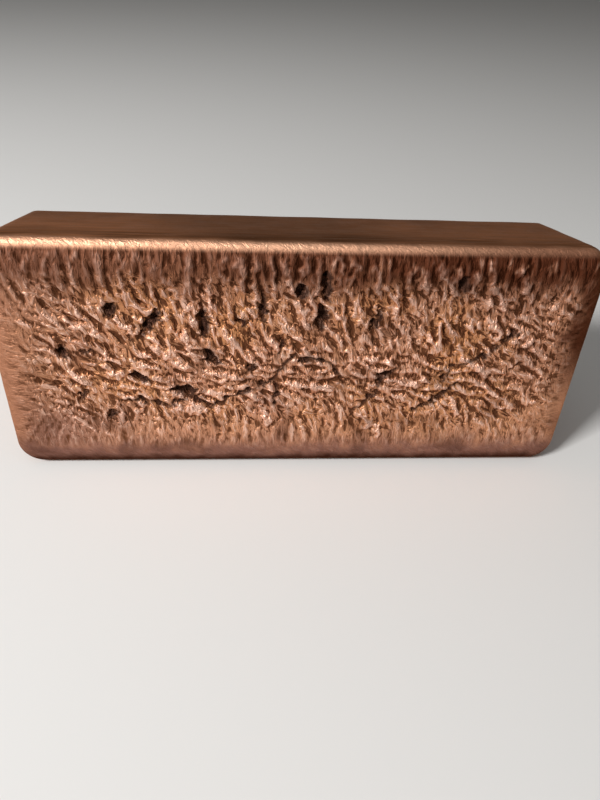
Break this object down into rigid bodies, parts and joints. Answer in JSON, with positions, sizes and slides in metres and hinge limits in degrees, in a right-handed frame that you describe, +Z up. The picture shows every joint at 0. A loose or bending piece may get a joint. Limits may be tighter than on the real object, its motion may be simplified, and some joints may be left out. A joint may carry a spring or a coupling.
{
  "type": "copper ingot",
  "caption": "Loaf-shaped cast copper ingot with drafted sides, a rounded rim and a crumpled, pitted pour face; raw stock for remelting or stacking.",
  "frame": {"origin": "on the ground, under the middle of the ingot's bounding box", "axes": "+Z up, +X along the ingot's length to the right as seen from the front, -Y out of the pour face"},
  "size_m": [0.1496, 0.0408, 0.0627],
  "materials": {
    "copper": "as-cast copper, thinly oxidised to red-brown, rough and crumpled on the pour face, satin with lap lines on the mould sides"
  },
  "bodies": {
    "root": {"ingot": "copper"}
  },
  "joints": []
}
